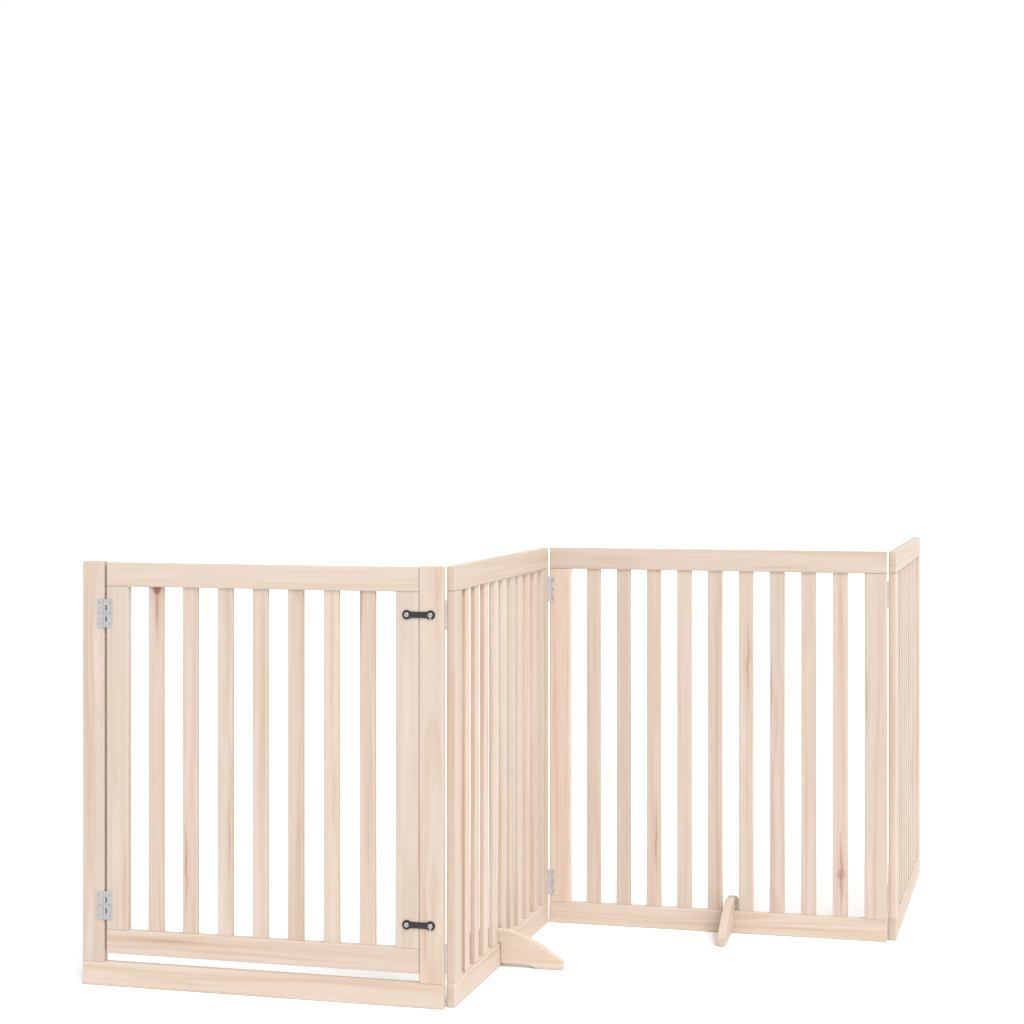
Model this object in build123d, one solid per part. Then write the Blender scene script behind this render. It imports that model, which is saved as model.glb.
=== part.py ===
from build123d import *
import os

# Folding wooden pet gate: four slatted panels hinged in a zigzag, the first of them a frame
# with a swinging door, and two removable feet.  Millimetres, +Z up, floor at Z = 0.
#
# A panel is drawn in its own axes: x along the panel, y from its front face (0) to its back
# face (board_thickness), z up.  panel_place then stands the four panels up in the zigzag.

# ---------------------------------------------------------------- driving dimensions
panel_width = 800.0
panel_height = 900.0
board_thickness = 18.0
board_width = 51.0
board_edge_radius = 2.5

slat_width = 34.0
slat_thickness = 10.5
slat_edge_radius = 1.5
slat_tenon = 10.0
mortise_clearance = 0.1
panel_slat_count = 9
door_slat_count = 7

door_stile_width = 50.0
door_hinge_gap = 5.0
door_pin_inset = 1.1
door_latch_gap = 0.6
door_floor_gap = 18.5
door_top_step = 2.0

dowel_diameter = 8.0
dowel_length = 40.0
dowel_spacing = 24.0
dowel_clearance = 0.05
dowel_end_clearance = 0.5

hinge_height = 60.0
door_leaf_width = 17.0
fold_leaf_width = 13.0
hinge_plate = 1.2
hinge_pin_offset = 1.4
hinge_barrel_radius = 2.3
hinge_pin_radius = 1.15
hinge_corner_radius = 1.0
hinge_clearance = 0.05
knuckle_count = 5
knuckle_end_clearance = 0.15
# how far each leaf is notched from the pin for the other's knuckles, and the notch's corners
wide_relief = (6.0, 3.5)
narrow_relief = (2.8, 0.4)
door_hinge_heights = (171.0, 790.0)
fold_hinge_heights = (98.0, 800.0)
fold_gap = 1.2

hinge_screw_rows = (-22.0, 0.0, 22.0)
hinge_screw_edge_margin = 4.5
hinge_screw_length = 14.0
hinge_screw_radius = 1.5
hinge_screw_head_radius = 2.6

latch_heights = (169.0, 801.0)
latch_pivot_inset = 24.9
latch_keeper_inset = 26.0
latch_thickness = 2.0
latch_standoff = 0.2
latch_end_radius = 9.6
latch_arm_width = 14.0
latch_waist = 0.8
latch_slot_width = 5.2
latch_mouth_angle = 20.0
latch_screw_radius = 2.0
latch_screw_length = 15.0
latch_head_radius = 5.3
latch_head_height = 3.2
latch_head_dome = 1.9
latch_recess_depth = 1.2
latch_bore_clearance = 0.15

foot_thickness = 18.0
foot_height = 81.0
foot_reach = 141.0
foot_notch_clearance = 0.4
foot_edge_radius = 2.5
# the wavy top edge and the arch below: distance from the panel's face, height
foot_shoulder = (14.0, foot_height)
foot_wave = ((46.0, 71.5), (85.0, 54.0), (122.0, 30.5))
foot_toe_height = 21.0
foot_toe_radius = 4.5
foot_arch_height = 8.0
foot_arch_run = 56.0
foot_arch_end = 86.0
panel_2_foot_gap = 4
panel_3_foot_gap = 5

pilot_clearance = 0.05
bore_overrun = 1.0
recess_width = 0.8

# ---------------------------------------------------------------- derived dimensions
mid_thickness = board_thickness / 2
door_left = board_width + door_hinge_gap
door_right = panel_width - board_width - door_latch_gap
door_bottom = board_width + door_floor_gap
door_top = panel_height - door_top_step
door_pin_x = board_width + door_pin_inset
latch_pivot_x = door_right - latch_pivot_inset
latch_keeper_x = panel_width - latch_keeper_inset
knuckle_length = hinge_height / knuckle_count


# ---------------------------------------------------------------- timber
def board(x0, x1, z0, z1, eased):
    """A board between two corners of a panel; eased picks the edges that are rounded."""
    size = (x1 - x0, board_thickness, z1 - z0)
    block = Pos(x0, 0, z0) * Box(*size, align=(Align.MIN, Align.MIN, Align.MIN))
    edges = block.edges()
    if eased == "long":
        edges = edges.filter_by(Axis.Z)
    if eased == "post":
        edges = edges.filter_by(lambda edge: edge.center().Z > z0 + board_edge_radius)
    return fillet(edges, board_edge_radius)


def slat(x0, z0, z1):
    """A thin upright slat whose two ends are the tenons housed in the rails."""
    depth = mid_thickness - slat_thickness / 2
    length = z1 - z0 + 2 * slat_tenon
    corner = (Align.MIN, Align.MIN, Align.MIN)
    strip = Pos(x0, depth, z0 - slat_tenon) * Box(slat_width, slat_thickness, length, align=corner)
    return fillet(strip.edges().filter_by(Axis.Z), slat_edge_radius)


def mortise(x0, z0, z1):
    """The space that a slat's two tenons need in the rails."""
    depth = mid_thickness - slat_thickness / 2 - mortise_clearance
    room = 2 * mortise_clearance
    length = z1 - z0 + 2 * (slat_tenon + mortise_clearance)
    place = Pos(x0 - mortise_clearance, depth, z0 - slat_tenon - mortise_clearance)
    corner = (Align.MIN, Align.MIN, Align.MIN)
    return place * Box(slat_width + room, slat_thickness + room, length, align=corner)


def slat_positions(left, right, count):
    """Left edges of slats spread with equal gaps between two stiles."""
    gap = (right - left - count * slat_width) / (count + 1)
    return [left + gap + index * (slat_width + gap) for index in range(count)]


def joint_dowels(x_centre, z_joint, clearance=0.0, end_clearance=0.0):
    """The pair of upright dowels in one corner joint, or with clearance their bores."""
    radius = dowel_diameter / 2 + clearance
    length = dowel_length + 2 * end_clearance
    offsets = (-dowel_spacing / 2, dowel_spacing / 2)
    return [Pos(x_centre + dx, mid_thickness, z_joint) * Cylinder(radius, length) for dx in offsets]


def dowel_bores(x_centre, z_joint):
    return joint_dowels(x_centre, z_joint, dowel_clearance, dowel_end_clearance)


# ---------------------------------------------------------------- screws
def along_y(length, radius, start=0.0):
    """A round bar along +y from y = start."""
    turned = Rot(-90, 0, 0) * Cylinder(radius, length, align=(Align.CENTER, Align.CENTER, Align.MIN))
    return Pos(0, start, 0) * turned


def cross_recess(span, depth):
    """A cross recess cut into a head whose top is at y = 0."""
    upright = Box(recess_width, 2 * depth, span)
    level = Box(span, 2 * depth, recess_width)
    return upright + level


def countersunk_screw(clearance=0.0):
    """A small countersunk screw, head flush at y = 0 and shank along +y."""
    head_radius = hinge_screw_head_radius + clearance
    shank_radius = hinge_screw_radius + clearance
    depth = head_radius - shank_radius
    seated = (Align.CENTER, Align.CENTER, Align.MIN)
    cone = Rot(-90, 0, 0) * Cone(head_radius, shank_radius, depth, align=seated)
    shank_end = hinge_screw_length + 4 * clearance
    screw = cone + along_y(shank_end - depth, shank_radius, depth)
    if clearance == 0.0:
        screw = screw - cross_recess(2 * hinge_screw_radius, hinge_screw_radius / 2)
    return screw


def pan_head_screw():
    """A pan-head screw on a plate whose wood side is at y = 0; the head is above the plate."""
    seat = -(latch_standoff + latch_thickness + latch_standoff)
    head = along_y(latch_head_height, latch_head_radius, seat - latch_head_height)
    rim = head.edges().sort_by(Axis.Y)[0]
    head = fillet(rim, latch_head_dome)
    shank = along_y(latch_screw_length - seat, latch_screw_radius, seat)
    crown = Pos(0, seat - latch_head_height, 0)
    recess = crown * cross_recess(latch_head_radius, latch_recess_depth)
    return head + shank - recess


def pan_head_bore():
    length = latch_screw_length + 2 * bore_overrun
    return along_y(length, latch_screw_radius + pilot_clearance, -bore_overrun)


# ---------------------------------------------------------------- butt hinge
# A hinge is drawn open flat: pin along z at the origin, wood behind the plane y = hinge_pin_offset,
# one leaf towards +x and the other towards -x.
def knuckle_span(index):
    low = -hinge_height / 2 + index * knuckle_length
    return low, low + knuckle_length


def relief(side, middle):
    """The notch that lets a leaf clear the other's knuckle: scalloped in the +x leaf."""
    reach, corner_radius = wide_relief if side > 0 else narrow_relief
    length = knuckle_length + knuckle_end_clearance
    notch = Pos(0, 0, middle) * Box(2 * reach, 4 * hinge_barrel_radius, length)
    return fillet(notch.edges().filter_by(Axis.Y), corner_radius)


def screw_places(width):
    """Where the three screws of one leaf sit: distance from the pin, height."""
    return [(width - hinge_screw_edge_margin, row) for row in hinge_screw_rows]


def hinge_leaf(side, width):
    """One leaf; the +x leaf has knuckles 0, 2 and 4 and the -x leaf has knuckles 1 and 3."""
    own = [index for index in range(knuckle_count) if index % 2 == (0 if side > 0 else 1)]
    plate_y = hinge_pin_offset - hinge_plate / 2
    plate = Pos(width / 2, plate_y, 0) * Box(width, hinge_plate, hinge_height)
    corners = plate.edges().filter_by(Axis.Y).filter_by(lambda edge: edge.center().X > hinge_plate)
    leaf = fillet(corners, hinge_corner_radius)
    for index in range(knuckle_count):
        low, high = knuckle_span(index)
        middle = (low + high) / 2
        if index in own:
            length = knuckle_length - knuckle_end_clearance
            leaf = leaf + Pos(0, 0, middle) * Cylinder(hinge_barrel_radius, length)
        else:
            leaf = leaf - relief(side, middle)
    leaf = leaf - Cylinder(hinge_pin_radius + hinge_clearance, 2 * hinge_height)
    for column, row in screw_places(width):
        seat = Pos(column, hinge_pin_offset - hinge_plate, row)
        leaf = leaf - seat * countersunk_screw(hinge_clearance)
    return leaf if side > 0 else mirror(leaf, Plane.YZ)


def hinge_screws(side, width, clearance=0.0):
    """The three screws of one leaf, or with clearance their pilot holes."""
    screw = countersunk_screw(clearance)
    head_y = hinge_pin_offset - hinge_plate
    return [Pos(side * column, head_y, row) * screw for column, row in screw_places(width)]


def hinge_pin():
    return Cylinder(hinge_pin_radius, hinge_height)


def at_heights(pin, turn, heights, shapes):
    """Copies of shapes on a pin line, turned about it, one set for each hinge height."""
    return [Pos(pin[0], pin[1], z) * Rot(0, 0, turn) * shape for z in heights for shape in shapes]


# ---------------------------------------------------------------- layout of the zigzag
# Folds 1 and 3 have their hinges on the back faces and fold 2 has them on the front faces.
# Panels 2 and 4 stand square to panels 1 and 3.
end_gap = fold_gap / 2
panel_1 = (0.0, 0.0)
fold_1_pin = (panel_width + end_gap, board_thickness + hinge_pin_offset)
panel_2 = (fold_1_pin[0] + hinge_pin_offset + board_thickness, fold_1_pin[1] + end_gap)
fold_2_pin = (panel_2[0] + hinge_pin_offset, panel_2[1] + panel_width + end_gap)
panel_3 = (fold_2_pin[0] + end_gap, fold_2_pin[1] + hinge_pin_offset)
fold_3_pin = (panel_3[0] + panel_width + end_gap, panel_3[1] + board_thickness + hinge_pin_offset)
panel_4 = (fold_3_pin[0] + hinge_pin_offset + board_thickness, fold_3_pin[1] + end_gap)


def centre_shift():
    """The move that puts the origin under the middle of the gate's outline."""
    low_y = -(latch_standoff * 2 + latch_thickness + latch_head_height)
    low_y = min(low_y, -hinge_pin_offset - hinge_barrel_radius)
    high_y = panel_4[1] + panel_width
    return Pos(-panel_4[0] / 2, -(low_y + high_y) / 2, 0)


def panel_place(number):
    corner = (panel_1, panel_2, panel_3, panel_4)[number - 1]
    return Pos(corner[0], corner[1], 0) * Rot(0, 0, 0 if number % 2 else 90)


SHIFT = centre_shift()


def keep(name, shapes):
    """Write one node: one solid, or a group of identical solids."""
    solids = [solid for shape in shapes for solid in (SHIFT * shape).solids()]
    node = solids[0] if len(solids) == 1 else Compound(children=solids)
    node.label = name
    export_step(node, f"parts/{name}.step")


def cut(shape, tools):
    for tool in tools:
        shape = shape - tool
    return shape


# ---------------------------------------------------------------- hinges by fold
# For each hinge line: its pin, heights, and the turn of the leaf on either side.
def fold_line(number):
    pin = (fold_1_pin, fold_2_pin, fold_3_pin)[number - 1]
    if number == 2:
        return pin, (-1, 90), (1, 0)
    return pin, (1, 180), (-1, -90)


def fold_pilots(number):
    """Pilot holes of one fold's screws, in both panels."""
    pin, before, after = fold_line(number)
    holes = []
    for side, turn in (before, after):
        screws = hinge_screws(side, fold_leaf_width, pilot_clearance)
        holes += at_heights(pin, turn, fold_hinge_heights, screws)
    return holes


def write_fold(number):
    pin, before, after = fold_line(number)
    for letter, (side, turn) in zip("ab", (before, after)):
        leaf = hinge_leaf(side, fold_leaf_width)
        leaves = at_heights(pin, turn, fold_hinge_heights, [leaf])
        screws = at_heights(pin, turn, fold_hinge_heights, hinge_screws(side, fold_leaf_width))
        keep(f"fold_{number}_leaves_{letter}", leaves)
        keep(f"fold_{number}_screws_{letter}", screws)
    keep(f"fold_{number}_pins", at_heights(pin, 0, fold_hinge_heights, [hinge_pin()]))


# ---------------------------------------------------------------- plain slatted panel
def write_slatted_panel(number, folds):
    place = panel_place(number)
    pilots = [hole for fold in folds for hole in fold_pilots(fold)]
    low, high = board_width, panel_height - board_width
    stile_centres = (board_width / 2, panel_width - board_width / 2)
    corners = [(x, z) for x in stile_centres for z in (low, high)]
    bores = [bore for x, z in corners for bore in dowel_bores(x, z)]
    slats = slat_positions(board_width, panel_width - board_width, panel_slat_count)
    housings = [mortise(x, low, high) for x in slats]

    stiles = (board(0, board_width, low, high, "long"),
              board(panel_width - board_width, panel_width, low, high, "long"))
    for side, stile in zip(("near", "far"), stiles):
        keep(f"panel_{number}_{side}_stile", [cut(place * cut(stile, bores), pilots)])

    top = board(0, panel_width, high, panel_height, "all")
    bottom = board(0, panel_width, 0, low, "all")
    keep(f"panel_{number}_top_rail", [cut(place * cut(top, bores + housings), pilots)])
    keep(f"panel_{number}_bottom_rail", [cut(place * cut(bottom, bores + housings), pilots)])
    keep(f"panel_{number}_slats", [place * slat(x, low, high) for x in slats])
    dowels = [dowel for x, z in corners for dowel in joint_dowels(x, z)]
    keep(f"panel_{number}_dowels", [place * dowel for dowel in dowels])


# ---------------------------------------------------------------- door frame and door
def door_hinge_line():
    return (door_pin_x, -hinge_pin_offset)


def on_door_hinges(shapes):
    return at_heights(door_hinge_line(), 0, door_hinge_heights, shapes)


def door_pilots(side):
    return on_door_hinges(hinge_screws(side, door_leaf_width, pilot_clearance))


def latch_bores(x):
    return [Pos(x, 0, z) * pan_head_bore() for z in latch_heights]


def write_door_frame():
    post_centres = (board_width / 2, panel_width - board_width / 2)
    bores = [bore for x in post_centres for bore in dowel_bores(x, board_width)]
    left = board(0, board_width, board_width, panel_height, "post")
    right = board(panel_width - board_width, panel_width, board_width, panel_height, "post")
    threshold = board(0, panel_width, 0, board_width, "all")
    keep("door_frame_left_post", [cut(left, bores + door_pilots(-1))])
    keep("door_frame_right_post", [cut(right, bores + fold_pilots(1) + latch_bores(latch_keeper_x))])
    keep("door_frame_threshold", [cut(threshold, bores)])
    keep("door_frame_dowels", [dowel for x in post_centres for dowel in joint_dowels(x, board_width)])
    keep("door_hinge_frame_leaves", on_door_hinges([hinge_leaf(-1, door_leaf_width)]))
    keep("door_hinge_pins", on_door_hinges([hinge_pin()]))
    keep("door_hinge_frame_screws", on_door_hinges(hinge_screws(-1, door_leaf_width)))
    keep("latch_keeper_screws", [Pos(latch_keeper_x, 0, z) * pan_head_screw() for z in latch_heights])


def write_door():
    low, high = door_bottom + board_width, door_top - board_width
    inner_left, inner_right = door_left + door_stile_width, door_right - door_stile_width
    centres = (door_left + door_stile_width / 2, door_right - door_stile_width / 2)
    corners = [(x, z) for x in centres for z in (low, high)]
    bores = [bore for x, z in corners for bore in dowel_bores(x, z)]
    slats = slat_positions(inner_left, inner_right, door_slat_count)
    housings = [mortise(x, low, high) for x in slats]

    hinge_stile = board(door_left, inner_left, low, high, "long")
    latch_stile = board(inner_right, door_right, low, high, "long")
    top = board(door_left, door_right, high, door_top, "all")
    bottom = board(door_left, door_right, door_bottom, low, "all")
    keep("door_hinge_stile", [cut(hinge_stile, bores + door_pilots(1))])
    keep("door_latch_stile", [cut(latch_stile, bores + latch_bores(latch_pivot_x))])
    keep("door_top_rail", [cut(top, bores + housings)])
    keep("door_bottom_rail", [cut(bottom, bores + housings)])
    keep("door_slats", [slat(x, low, high) for x in slats])
    keep("door_dowels", [dowel for x, z in corners for dowel in joint_dowels(x, z)])
    keep("door_hinge_door_leaves", on_door_hinges([hinge_leaf(1, door_leaf_width)]))
    keep("door_hinge_door_screws", on_door_hinges(hinge_screws(1, door_leaf_width)))
    keep("latch_pivot_screws", [Pos(latch_pivot_x, 0, z) * pan_head_screw() for z in latch_heights])


# ---------------------------------------------------------------- latches
def latch_hook():
    """A flat steel bar with two round ends, drawn with its pivot at the origin.

    The end over the door has a round bore; the other is a hook, open downwards, that drops
    over the keeper screw.  Its mouth is an arc about the pivot, so the screw runs clear of it
    as the hook turns up.
    """
    reach = latch_keeper_x - latch_pivot_x
    half = latch_arm_width / 2
    mouth = CenterArc((0, 0), reach, 0, -latch_mouth_angle)
    with BuildSketch() as outline:
        Circle(latch_end_radius)
        with Locations((reach, 0)):
            Circle(latch_end_radius)
        with BuildLine():
            ThreePointArc((0, half), (reach / 2, half - latch_waist), (reach, half))
            Line((reach, half), (reach, -half))
            ThreePointArc((reach, -half), (reach / 2, latch_waist - half), (0, -half))
            Line((0, -half), (0, half))
        make_face()
        Circle(latch_screw_radius + latch_bore_clearance, mode=Mode.SUBTRACT)
        SlotArc(mouth, latch_slot_width, mode=Mode.SUBTRACT)
    plate = extrude(outline.sketch, latch_thickness)
    upright = Rot(90, 0, 0) * plate
    return Pos(0, -latch_standoff, 0) * upright


def write_latches():
    for name, z in zip(("lower", "upper"), latch_heights):
        keep(f"{name}_latch_hook", [Pos(latch_pivot_x, 0, z) * latch_hook()])


# ---------------------------------------------------------------- feet
def foot():
    """A foot plank across a panel, drawn with the panel's middle plane at x = 0.

    It drops over the bottom rail with a notch that is open downwards, and stands on its two
    toes with a shallow arch between them.
    """
    face = mid_thickness
    tip = face + foot_reach
    notch = face + foot_notch_clearance
    rail_top = board_width + foot_notch_clearance
    arch_start = (face + foot_arch_run, foot_arch_height)
    arch_end = (face + foot_arch_end, 0)
    arch_middle = ((arch_start[0] + arch_end[0]) / 2, foot_arch_height / 2)
    crest = [(face + distance, height) for distance, height in (foot_shoulder, *foot_wave)]
    toe_top = (tip, foot_toe_height)
    with BuildSketch() as outline:
        with BuildLine():
            Polyline((0, rail_top), (0, foot_height), crest[0])
            Spline(*crest, toe_top, tangents=((1, -0.1), (1, -0.4)))
            Polyline(toe_top, (tip, 0), arch_end)
            Spline(arch_end, arch_middle, arch_start, tangents=((-1, 0.1), (-1, 0)))
            Polyline(arch_start, (notch, foot_arch_height), (notch, rail_top), (0, rail_top))
        make_face()
        fillet(outline.vertices().sort_by(Axis.X)[-2:], foot_toe_radius)
    half = extrude(outline.sketch, foot_thickness / 2, both=True)
    plank = half + mirror(half, Plane.YZ)
    sides = plank.faces().filter_by(Axis.Z)
    rounded = [edge for side in sides for edge in side.edges() if edge.center().Y > foot_arch_height]
    plank = fillet(rounded, foot_edge_radius)
    return Rot(90, 0, 0) * plank


def write_feet():
    """Gap 0 lies between the near stile and the first slat, so gap 4 follows the fourth slat."""
    slats = slat_positions(board_width, panel_width - board_width, panel_slat_count)
    gap = slats[1] - slats[0] - slat_width
    for number, foot_gap in ((2, panel_2_foot_gap), (3, panel_3_foot_gap)):
        along = slats[foot_gap] - gap / 2
        across = panel_place(number) * Pos(along, mid_thickness, 0) * Rot(0, 0, 90)
        keep(f"panel_{number}_foot", [across * foot()])


# ---------------------------------------------------------------- the gate
os.makedirs("parts", exist_ok=True)
write_door_frame()
write_door()
write_latches()
write_slatted_panel(2, (1, 2))
write_slatted_panel(3, (2, 3))
write_slatted_panel(4, (3,))
for fold_number in (1, 2, 3):
    write_fold(fold_number)
write_feet()
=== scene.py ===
import math
import random

import bpy
import numpy as np
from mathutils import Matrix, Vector


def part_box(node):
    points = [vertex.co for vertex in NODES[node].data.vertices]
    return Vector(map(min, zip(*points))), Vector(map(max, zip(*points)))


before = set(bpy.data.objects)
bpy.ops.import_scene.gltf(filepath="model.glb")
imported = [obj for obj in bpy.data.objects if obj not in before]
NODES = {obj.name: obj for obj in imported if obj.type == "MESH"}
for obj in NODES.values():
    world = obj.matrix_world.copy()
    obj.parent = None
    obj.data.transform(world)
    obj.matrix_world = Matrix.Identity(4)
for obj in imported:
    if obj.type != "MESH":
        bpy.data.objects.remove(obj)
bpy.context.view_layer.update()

# A folding wooden pet gate: untreated pine boards and slats, zinc-plated butt hinges, black
# steel hook latches.  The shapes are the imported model's; this script gives them their look.

MM = 0.001

# ---------------------------------------------------------------- timber coordinates
# Each board carries its own coordinates as mesh attributes: how far along the grain, across
# it and into the thickness a point is, measured from the heart of the log it was sawn from.
SLATS_IN = {"door_slats": 7, "panel_2_slats": 9, "panel_3_slats": 9, "panel_4_slats": 9}
SLAT_WIDTH = 34 * MM
# the share of a pitch that keeps a slat's own first edge from counting as the slat before
EDGE_SHARE = 0.05

# what chance gives a board: its place along the log and from the heart (metres), and its tone
LOG_OFFSET = 40.0
HEART_ACROSS = (-0.05, 0.05)
HEART_DEPTH = (0.012, 0.09)
USUAL_LIGHTNESS = (0.30, 0.80)
USUAL_HUE = (0.10, 0.85)

# how far a face has to turn along the board before it counts as end grain, and how much of the end-grain
# darkening is laid on a slat's narrow sides as painted shade
SAWN_FROM = 0.65
SLAT_SIDE_SHADE_SHARE = 0.20

# lightness and hue (0 pink, 1 yellow) of boards that stand out; the rest are chosen by chance; the lightness
# of the threshold, panel 2's foot, panel 3's near stile and bottom rail and panel 4's near stile is partly
# painted light, raised to stand in for floor bounce and to lift corner shade
TONES_AND_LIGHT_LIFTS = {
    ("door_frame_left_post", 0): (0.35, 0.30),
    ("door_frame_right_post", 0): (0.60, 0.45),
    ("door_frame_threshold", 0): (0.80, 0.50),
    ("door_hinge_stile", 0): (0.30, 0.60),
    ("door_latch_stile", 0): (0.40, 0.70),
    ("door_bottom_rail", 0): (0.50, 0.35),
    ("panel_2_foot", 0): (1.10, 0.60),
    ("panel_2_near_stile", 0): (0.70, 0.45),
    ("panel_3_near_stile", 0): (1.65, 0.25),
    ("panel_3_bottom_rail", 0): (0.95, 0.60),
    ("panel_3_far_stile", 0): (0.60, 0.45),
    ("panel_4_near_stile", 0): (0.90, 0.45),
    ("door_slats", 0): (0.30, 0.15),
    ("door_slats", 1): (0.40, 0.35),
    ("door_slats", 3): (0.50, 0.60),
    ("door_slats", 4): (0.35, 0.15),
    ("door_slats", 5): (0.60, 0.70),
    ("door_slats", 6): (0.60, 0.30),
}

# groups of slats made paler as a whole: painted light, lifting them to the brightness of the other slats
PALER_AS_PAINTED_LIGHT = {"panel_2_slats": 0.55}

# where a knot or a resin streak lies, from the middle of its board (metres along and across),
# and how strong it is; a knot is more than 1
MARKS = {
    ("door_slats", 0): (0.360, 0.003, 2.0),
    ("door_slats", 1): (-0.215, -0.009, 0.95),
    ("door_slats", 2): (-0.160, 0.010, 0.45),
    ("door_slats", 5): (-0.060, 0.006, 0.35),
    ("door_slats", 6): (0.345, -0.014, 0.90),
    ("door_bottom_rail", 0): (-0.190, 0.008, 0.60),
    ("door_hinge_stile", 0): (-0.270, 0.016, 0.30),
    ("door_frame_right_post", 0): (-0.300, -0.012, 0.30),
    ("panel_2_slats", 2): (0.060, 0.011, 0.85),
    ("panel_2_near_stile", 0): (-0.120, 0.020, 0.40),
    ("panel_3_slats", 2): (-0.240, 0.006, 0.90),
    ("panel_3_slats", 5): (0.190, 0.006, 0.85),
    ("panel_3_slats", 6): (0.130, -0.013, 0.70),
    ("panel_3_slats", 8): (-0.300, 0.002, 1.35),
    ("panel_3_far_stile", 0): (0.110, -0.020, 0.55),
    ("panel_3_top_rail", 0): (0.150, -0.015, 0.35),
    ("panel_4_near_stile", 0): (0.180, -0.012, 0.50),
    ("panel_4_slats", 6): (-0.150, 0.004, 1.40),
    ("door_frame_threshold", 0): (-0.180, -0.008, 0.30),
}


def is_timber(name):
    return name.endswith(("post", "threshold", "stile", "rail", "slats", "foot", "dowels"))


def board_axes(name, size):
    """The axes of a board's length, width and thickness, as 0, 1 or 2."""
    if name in SLATS_IN:
        along = 2
        depth = 0 if size[0] < size[1] else 1
        return along, 1 - depth, depth
    order = sorted(range(3), key=lambda axis: -size[axis])
    return tuple(order)


def board_numbers(name, across, low, high):
    """Which slat of a group each vertex belongs to; a lone board is number 0."""
    count = SLATS_IN.get(name, 1)
    if count == 1:
        return np.zeros(len(across), int)
    pitch = (high - low - SLAT_WIDTH) / (count - 1)
    return np.clip(((across - low) / pitch + EDGE_SHARE).astype(int), 0, count - 1)


def read_vectors(items, label):
    values = np.zeros(len(items) * 3, np.float32)
    items.foreach_get(label, values)
    return values.reshape(-1, 3)


def give_board_coordinates(name, piece):
    """Write a board's grain, tone and mark as mesh attributes, slat by slat."""
    mesh = piece.data
    count = len(mesh.vertices)
    points = read_vectors(mesh.vertices, "co")
    normals = read_vectors(mesh.vertex_normals, "vector")
    low, high = points.min(0), points.max(0)
    along, across, depth = board_axes(name, high - low)
    numbers = board_numbers(name, points[:, across], low[across], high[across])
    grain = np.zeros((count, 3), np.float32)
    tone = np.zeros((count, 3), np.float32)
    mark = np.zeros((count, 3), np.float32)
    for number in range(numbers.max() + 1):
        chance = random.Random(f"{name} {number}")
        mine = numbers == number
        middle = (points[mine].min(0) + points[mine].max(0)) / 2
        heart_across = chance.uniform(*HEART_ACROSS)
        heart_depth = chance.uniform(*HEART_DEPTH)
        grain[mine, 0] = points[mine, along] - middle[along] + chance.uniform(0, LOG_OFFSET)
        grain[mine, 1] = points[mine, across] - middle[across] + heart_across
        grain[mine, 2] = points[mine, depth] - middle[depth] + heart_depth
        lightness = chance.uniform(*USUAL_LIGHTNESS) + PALER_AS_PAINTED_LIGHT.get(name, 0)
        usual = (lightness, chance.uniform(*USUAL_HUE))
        tone[mine, 0], tone[mine, 1] = TONES_AND_LIGHT_LIFTS.get((name, number), usual)
        tone[mine, 2] = np.clip((np.abs(normals[mine, along]) - SAWN_FROM) / (1 - SAWN_FROM), 0, 1)
        # a slat's narrow sides get painted shade: part of the end-grain darkening, whatever the light
        if name in SLATS_IN:
            slat_side_shade = SLAT_SIDE_SHADE_SHARE * np.abs(normals[mine, across])
            tone[mine, 2] = np.maximum(tone[mine, 2], slat_side_shade)
        mark_along, mark_across, strength = MARKS.get((name, number), (0, 0, 0))
        mark[mine, 0] = points[mine, along] - middle[along] - mark_along
        mark[mine, 1] = points[mine, across] - middle[across] - mark_across
        mark[mine, 2] = strength
    for label, values in (("grain", grain), ("tone", tone), ("mark", mark)):
        layer = mesh.attributes.new(label, "FLOAT_VECTOR", "POINT")
        layer.data.foreach_set("vector", values.ravel())


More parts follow.
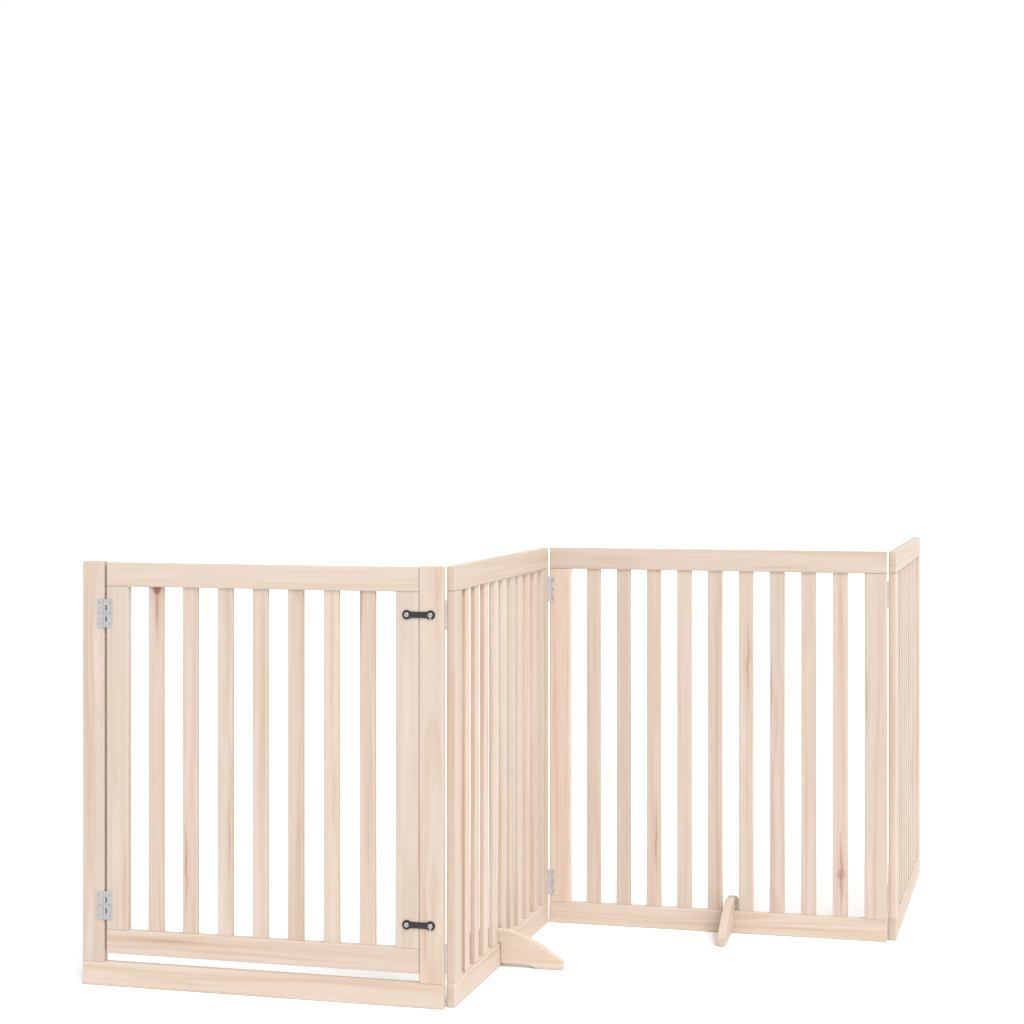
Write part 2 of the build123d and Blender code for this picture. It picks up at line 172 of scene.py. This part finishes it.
# ---------------------------------------------------------------- node helpers
class Graph:
    """A short way to build one material's nodes."""

    def __init__(self, name):
        self.material = bpy.data.materials.new(name)
        self.material.use_nodes = True
        self.tree = self.material.node_tree
        self.shader = self.tree.nodes["Principled BSDF"]

    def add(self, kind, inputs=(), **settings):
        node = self.tree.nodes.new(kind)
        for key, value in settings.items():
            setattr(node, key, value)
        for socket, value in dict(inputs).items():
            self.put(node.inputs[socket], value)
        return node

    def put(self, socket, value):
        if isinstance(value, bpy.types.NodeSocket):
            self.tree.links.new(value, socket)
        else:
            socket.default_value = value

    def math(self, operation, a, b=0.0, c=0.0, clamp=False):
        node = self.add("ShaderNodeMath", {0: a, 1: b, 2: c}, operation=operation, use_clamp=clamp)
        return node.outputs[0]

    def vector(self, operation, a, b=(0, 0, 0)):
        return self.add("ShaderNodeVectorMath", {0: a, 1: b}, operation=operation).outputs[0]

    def attribute(self, name):
        return self.add("ShaderNodeAttribute", attribute_name=name).outputs["Vector"]

    def split(self, vector):
        return self.add("ShaderNodeSeparateXYZ", {0: vector}).outputs

    def join(self, x=0.0, y=0.0, z=0.0):
        return self.add("ShaderNodeCombineXYZ", {0: x, 1: y, 2: z}).outputs[0]

    def stretched(self, along, across, depth, scale):
        """A place on the board, with each direction scaled on its own."""
        parts = [self.math("MULTIPLY", part, by) for part, by in zip((along, across, depth), scale)]
        return self.join(*parts)

    def noise(self, vector, scale=1.0, detail=2.0, roughness=0.5):
        sockets = {"Vector": vector, "Scale": scale, "Detail": detail, "Roughness": roughness}
        return self.add("ShaderNodeTexNoise", sockets).outputs["Fac"]

    def ramp(self, value, stops):
        node = self.add("ShaderNodeValToRGB", {0: value})
        elements = node.color_ramp.elements
        while len(elements) < len(stops):
            elements.new(0.5)
        for element, (place, colour) in zip(elements, stops):
            element.position = place
            element.color = (*colour, 1) if len(colour) == 3 else colour
        return node.outputs[0]

    def level(self, value, stops):
        """A ramp of plain numbers."""
        return self.ramp(value, [(place, (number,) * 3) for place, number in stops])

    def mix(self, share, a, b, blend="MIX"):
        node = self.add("ShaderNodeMix", data_type="RGBA", blend_type=blend)
        colours = [socket for socket in node.inputs if socket.type == "RGBA"]
        self.put(node.inputs[0], share)
        for socket, value in zip(colours, (a, b)):
            value = value if isinstance(value, bpy.types.NodeSocket) else (*value, 1)
            self.put(socket, value)
        return [socket for socket in node.outputs if socket.type == "RGBA"][0]

    def finish(self, **inputs):
        for socket, value in inputs.items():
            self.put(self.shader.inputs[socket.replace("_", " ")], value)
        return self.material

    def bump(self, height, distance, strength=1.0):
        node = self.add("ShaderNodeBump", {"Height": height, "Distance": distance, "Strength": strength})
        return node.outputs[0]


# ---------------------------------------------------------------- pine
RING_SPACING = 6.5 * MM
EARLY_WOOD = (0.555, 0.480, 0.428)
PINK_WOOD = (0.575, 0.436, 0.358)
YELLOW_WOOD = (0.575, 0.490, 0.392)
PALE_WOOD = (0.620, 0.562, 0.525)
LATE_WOOD = (0.430, 0.285, 0.190)
RESIN = (0.300, 0.130, 0.070)
KNOT_WOOD = (0.230, 0.052, 0.042)
STREAK_LENGTH = 75 * MM
STREAK_WIDTH = 2.2 * MM
KNOT_LENGTH = 15 * MM
KNOT_WIDTH = 12 * MM
FIBRE_SHADE = (0.38, 0.26, 0.18)
# the end-grain colour, also laid on slat sides as painted shade
END_GRAIN_AND_SIDE_SHADE = (0.46, 0.36, 0.28)

# how a board's lightness, 0 to 1, multiplies its colour
DARKEST = 0.895
LIGHTNESS_SPAN = 0.16

# how fast each pattern changes along the board, across it and into its depth, per metre
WANDER_SCALE = (1.7, 6, 6)
FIBRE_SCALE = (5, 700, 700)
STREAK_SCALE = (1.1, 62, 40)
BAND_SCALE = (2.2, 38, 1)
RIPPLE_SCALE = 16
RING_NOISE_SCALE = 70

# how far the patterns are pushed about, in metres
WANDER_SIZE = 0.030
FIGURE_SHIFT = 0.020
RIPPLE_SIZE = 0.014
SWIRL_SIZE = 0.012

GLOW_SPREAD = 0.07
SWIRL_TIGHTNESS = 0.16
RING_UNEVENNESS = 2.2
BAND_WARMTH = 2.2


def wandering(g, along, across, depth):
    """The bends of the stem, which the rings follow, as three numbers about 0."""
    place = g.stretched(along, across, depth, WANDER_SCALE)
    wander = g.add("ShaderNodeTexNoise", {"Vector": place, "Scale": 1.0, "Detail": 2.0}).outputs["Color"]
    return g.split(g.vector("SUBTRACT", wander, (0.5, 0.5, 0.5)))


def board_marks(g, along):
    """A board's one streak or knot: the streak, the glow about it, the knot, its swirl."""
    mark_along, mark_across, mark_strength = g.split(g.attribute("mark"))
    ripple = g.noise(g.join(g.math("MULTIPLY", along, RIPPLE_SCALE), 0.0, 0.0), 1.0, 2)
    bent = g.math("MULTIPLY_ADD", g.math("SUBTRACT", ripple, 0.5), RIPPLE_SIZE, mark_across)
    fade = g.math("POWER", g.math("DIVIDE", mark_along, STREAK_LENGTH), 2)
    thin = g.math("POWER", g.math("DIVIDE", bent, STREAK_WIDTH), 2)
    streak = g.math("EXPONENT", g.math("MULTIPLY", g.math("ADD", fade, thin), -1))
    wide = g.math("ADD", fade, g.math("MULTIPLY", thin, GLOW_SPREAD))
    glow = g.math("EXPONENT", g.math("MULTIPLY", wide, -1))
    streak = g.math("MULTIPLY", streak, mark_strength, clamp=True)
    glow = g.math("MULTIPLY", glow, mark_strength, clamp=True)

    knot_u = g.math("POWER", g.math("DIVIDE", mark_along, KNOT_LENGTH), 2)
    knot_v = g.math("POWER", g.math("DIVIDE", mark_across, KNOT_WIDTH), 2)
    reach = g.math("ADD", knot_u, knot_v)
    is_knot = g.math("SUBTRACT", mark_strength, 1.0, clamp=True)
    knot = g.math("MULTIPLY", g.level(reach, [(0.25, 1.0), (1.0, 0.0)]), is_knot)
    swirl = g.math("EXPONENT", g.math("MULTIPLY", reach, -SWIRL_TIGHTNESS))
    swirl = g.math("MULTIPLY", swirl, is_knot)
    return streak, glow, knot, swirl


def late_wood(g, along, across, depth, bends, swirl):
    """The dark part of each ring, by distance from the heart; rings are of uneven width."""
    out_x = g.math("MULTIPLY_ADD", bends[0], WANDER_SIZE, across)
    out_y = g.math("MULTIPLY_ADD", bends[1], WANDER_SIZE, depth)
    from_heart = g.math("SQRT", g.math("ADD", g.math("POWER", out_x, 2), g.math("POWER", out_y, 2)))
    from_heart = g.math("MULTIPLY_ADD", swirl, SWIRL_SIZE, from_heart)
    uneven = g.noise(g.join(from_heart, 0.0, 0.0), RING_NOISE_SCALE, 1)
    rings = g.math("MULTIPLY_ADD", from_heart, 1 / RING_SPACING, g.math("MULTIPLY", uneven, RING_UNEVENNESS))
    late = g.level(g.math("FRACT", rings), [(0.0, 0.25), (0.30, 0.0), (0.78, 0.8), (0.90, 1.0), (1.0, 0.25)])
    place = g.join(g.math("MULTIPLY", along, 0.6), g.math("MULTIPLY", from_heart, RING_NOISE_SCALE), 0.0)
    strength = g.noise(place, 1.0, 1)
    return g.math("MULTIPLY", late, g.level(strength, [(0.35, 0.12), (0.70, 1.0)]))


def pine(name, figure=1.0):
    """Untreated softwood, drawn from the log outwards: rings, fibres, streaks and knots."""
    g = Graph(name)
    along, across, depth = g.split(g.attribute("grain"))
    lightness, hue, end_grain_and_side_shade = g.split(g.attribute("tone"))
    bends = wandering(g, along, across, depth)
    resin, glow, knot, swirl = board_marks(g, along)
    late = late_wood(g, along, across, depth, bends, swirl)

    # fibres run the whole way along, finer than the rings
    fibre = g.noise(g.stretched(along, across, depth, FIBRE_SCALE), 1.0, 3, 0.6)
    shifted = g.math("MULTIPLY_ADD", bends[2], FIGURE_SHIFT, across)
    streak = g.noise(g.stretched(along, shifted, depth, STREAK_SCALE), 1.0, 2, 0.5)
    band = g.noise(g.stretched(along, shifted, depth, BAND_SCALE), 1.0, 2)

    warmth = g.math("ADD", hue, g.math("MULTIPLY", g.math("SUBTRACT", band, 0.5), BAND_WARMTH))
    colour = g.mix(g.level(warmth, [(0.05, 0.0), (0.95, 1.0)]), PINK_WOOD, YELLOW_WOOD)
    colour = g.mix(g.level(streak, [(0.30, 0.60), (0.62, 0.15)]), colour, EARLY_WOOD)
    colour = g.mix(g.math("MULTIPLY", late, 0.36 * figure), colour, LATE_WOOD)
    colour = g.mix(g.level(streak, [(0.52, 0.0), (0.72, 0.46 * figure)]), colour, LATE_WOOD)
    colour = g.mix(g.level(band, [(0.26, 0.50), (0.48, 0.0)]), colour, PALE_WOOD)
    colour = g.mix(g.level(fibre, [(0.36, 0.07), (0.62, 0.0)]), colour, FIBRE_SHADE)
    # end grain is darker in the wood itself; the same darkening on slat sides is painted shade
    marks = ((end_grain_and_side_shade, 0.22, END_GRAIN_AND_SIDE_SHADE), (glow, 0.30, LATE_WOOD), (resin, 0.62, RESIN),
             (swirl, 0.30, LATE_WOOD), (knot, 0.80, KNOT_WOOD))
    for mask, share, tint in marks:
        colour = g.mix(g.math("MULTIPLY", mask, share), colour, tint)
    shade = g.math("MULTIPLY_ADD", lightness, LIGHTNESS_SPAN, DARKEST)
    colour = g.mix(1.0, colour, g.join(shade, shade, shade), "MULTIPLY")

    height = g.math("ADD", g.math("MULTIPLY", fibre, 0.7), g.math("MULTIPLY", late, 0.3))
    rough = g.math("MULTIPLY_ADD", fibre, 0.14, 0.52)
    rough = g.math("SUBTRACT", rough, g.math("MULTIPLY", late, 0.06))
    g.shader.inputs["Specular IOR Level"].default_value = 0.30
    return g.finish(Base_Color=colour, Roughness=rough, Normal=g.bump(height, 0.10 * MM, 0.7))


# ---------------------------------------------------------------- metals
ZINC = (0.49, 0.49, 0.50)
# the hinge zinc painted lighter for the fold hinges' leaves: painted light, a lit copy of the same plating
LIT_COPY_ZINC = (0.62, 0.585, 0.585)
SCREW_ZINC = (0.44, 0.44, 0.45)
BRIGHT_STEEL = (0.48, 0.48, 0.50)
BLACK_COAT = (0.010, 0.008, 0.010)
BLACK_COAT_PALE = (0.018, 0.014, 0.017)
RUBBED_COAT = (0.10, 0.095, 0.095)


def zinc(name, tint, roughness, metal=0.45):
    """Zinc plating: pale, finely mottled, with faint rolling marks."""
    g = Graph(name)
    place = g.add("ShaderNodeTexCoord").outputs["Object"]
    mottle = g.noise(place, 260, 3)
    cloud = g.noise(place, 45, 2)
    marks = g.noise(g.vector("MULTIPLY", place, (1, 1, 0.06)), 2600, 2)
    dark = tuple(0.80 * part for part in tint)
    colour = g.mix(g.level(mottle, [(0.35, 0.0), (0.68, 1.0)]), dark, tint)
    colour = g.mix(g.level(cloud, [(0.40, 0.30), (0.62, 0.0)]), colour, tuple(0.7 * part for part in tint))
    rough = g.math("MULTIPLY_ADD", mottle, 0.20, roughness)
    height = g.math("ADD", g.math("MULTIPLY", mottle, 0.6), g.math("MULTIPLY", marks, 0.4))
    g.shader.inputs["Metallic"].default_value = metal
    return g.finish(Base_Color=colour, Roughness=rough, Normal=g.bump(height, 0.04 * MM, 0.7))


def black_steel(name):
    """Black-coated steel: nearly even, with a fine orange-peel skin and thin rub marks."""
    g = Graph(name)
    place = g.add("ShaderNodeTexCoord").outputs["Object"]
    peel = g.noise(place, 1400, 2)
    rub = g.noise(g.vector("MULTIPLY", place, (0.3, 1, 1)), 900, 3, 0.7)
    colour = g.mix(g.level(peel, [(0.3, 0.0), (0.7, 1.0)]), BLACK_COAT, BLACK_COAT_PALE)
    colour = g.mix(g.level(rub, [(0.66, 0.0), (0.78, 0.5)]), colour, RUBBED_COAT)
    rough = g.math("MULTIPLY_ADD", peel, 0.12, 0.38)
    return g.finish(Base_Color=colour, Roughness=rough, Normal=g.bump(peel, 0.03 * MM, 0.6))


# ---------------------------------------------------------------- dress the CAD nodes
def dress():
    boards = pine("pine_boards")
    slats = pine("pine_slats", figure=1.15)
    dowel = pine("beech_dowel", figure=0.5)
    plate = zinc("zinc_plate", ZINC, 0.50)
    # the fold leaves take the lighter zinc copy as painted light
    fold_plate = zinc("zinc_fold_plate", LIT_COPY_ZINC, 0.50, metal=0.30)
    small_screw = zinc("zinc_screw", SCREW_ZINC, 0.42, metal=0.6)
    bright = zinc("bright_screw", BRIGHT_STEEL, 0.24, metal=1.0)
    black = black_steel("black_steel")
    for name, piece in NODES.items():
        if is_timber(name):
            give_board_coordinates(name, piece)
            material = slats if name in SLATS_IN else boards
            material = dowel if name.endswith("dowels") else material
        elif "hook" in name:
            material = black
        else:
            material = small_screw if "screws" in name or "pins" in name else plate
            material = bright if name.startswith("latch") else material
            material = fold_plate if name.startswith("fold") and "leaves" in name else material
        piece.data.materials.clear()
        piece.data.materials.append(material)


# ---------------------------------------------------------------- floor, light, camera
FLOOR_REACH = 40.0
FLOOR_WHITE = (0.93, 0.93, 0.93, 1)
LAMP_ENERGY = 2.3
LAMP_SOFTNESS = math.radians(30)
LAMP_FROM = Vector((0.46, -0.42, 0.78))
LENS = 74.68
SENSOR = 36.0
LENS_SHIFT = (0.0066, -0.0684)
EYE_FROM_CORNER = (2.0314, -4.1341)
EYE_HEIGHT = 1.1530
EYE_TURN = math.radians(14.906)


def make_floor():
    size = FLOOR_REACH
    mesh = bpy.data.meshes.new("floor")
    corners = [(-size, -size, 0), (size, -size, 0), (size, size, 0), (-size, size, 0)]
    mesh.from_pydata(corners, [], [(0, 1, 2, 3)])
    floor = bpy.data.objects.new("floor", mesh)
    bpy.context.scene.collection.objects.link(floor)
    g = Graph("floor_white")
    g.finish(Base_Color=FLOOR_WHITE, Roughness=0.8)
    g.shader.inputs["Specular IOR Level"].default_value = 0.2
    mesh.materials.append(g.material)


def make_light():
    """An even white studio, with one very soft lamp from above on the right."""
    world = bpy.data.worlds.new("studio")
    world.use_nodes = True
    background = world.node_tree.nodes["Background"]
    background.inputs["Color"].default_value = (1, 1, 1, 1)
    background.inputs["Strength"].default_value = 1.0
    bpy.context.scene.world = world
    light = bpy.data.lights.new("key_light", "SUN")
    light.energy = LAMP_ENERGY
    light.angle = LAMP_SOFTNESS
    lamp = bpy.data.objects.new("key_light", light)
    lamp.rotation_euler = LAMP_FROM.to_track_quat("Z", "Y").to_euler()
    bpy.context.scene.collection.objects.link(lamp)
    bpy.context.scene.view_settings.view_transform = "Standard"


def make_camera():
    """The photographer's place, from the door frame's front left foot, at eye level."""
    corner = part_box("door_frame_threshold")[0]
    camera = bpy.data.cameras.new("camera")
    camera.lens = LENS
    camera.sensor_width = SENSOR
    camera.shift_x, camera.shift_y = LENS_SHIFT
    eye = bpy.data.objects.new("camera", camera)
    eye.location = (corner.x + EYE_FROM_CORNER[0], corner.y + EYE_FROM_CORNER[1], EYE_HEIGHT)
    eye.rotation_euler = (math.radians(90), 0, EYE_TURN)
    bpy.context.scene.collection.objects.link(eye)
    bpy.context.scene.camera = eye


dress()
make_floor()
make_light()
make_camera()
